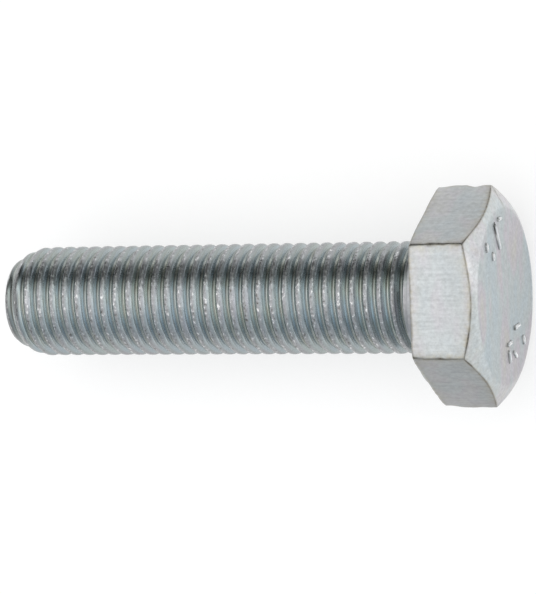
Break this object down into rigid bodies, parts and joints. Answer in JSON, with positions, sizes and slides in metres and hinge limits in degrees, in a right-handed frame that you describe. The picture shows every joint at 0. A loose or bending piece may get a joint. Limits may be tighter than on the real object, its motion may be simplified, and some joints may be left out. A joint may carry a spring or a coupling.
{
  "type": "hex bolt",
  "caption": "Fully threaded hex head bolt with a washer face under the head, a chamfered top face and a fine right-hand thread, to clamp parts with a nut or in a threaded hole.",
  "frame": {"origin": "centre of the bearing face under the head, on the bolt's axis", "axes": "+X along the bolt's axis from the bearing face through the head, so the thread points to -X; +Z square to one pair of wrench flats, as the bolt lies on a bench; +Y through two opposite corners of the hexagon"},
  "size_m": [0.0464, 0.0192, 0.017],
  "materials": {
    "zinc_head": "clear blue-white zinc plate on forged steel, satin, with trimming lines on the flats",
    "zinc_thread": "clear blue-white zinc plate on a rolled thread, satin to semi-gloss"
  },
  "bodies": {
    "root": {"hex_head": "zinc_head", "threaded_shank": "zinc_thread"}
  },
  "joints": []
}
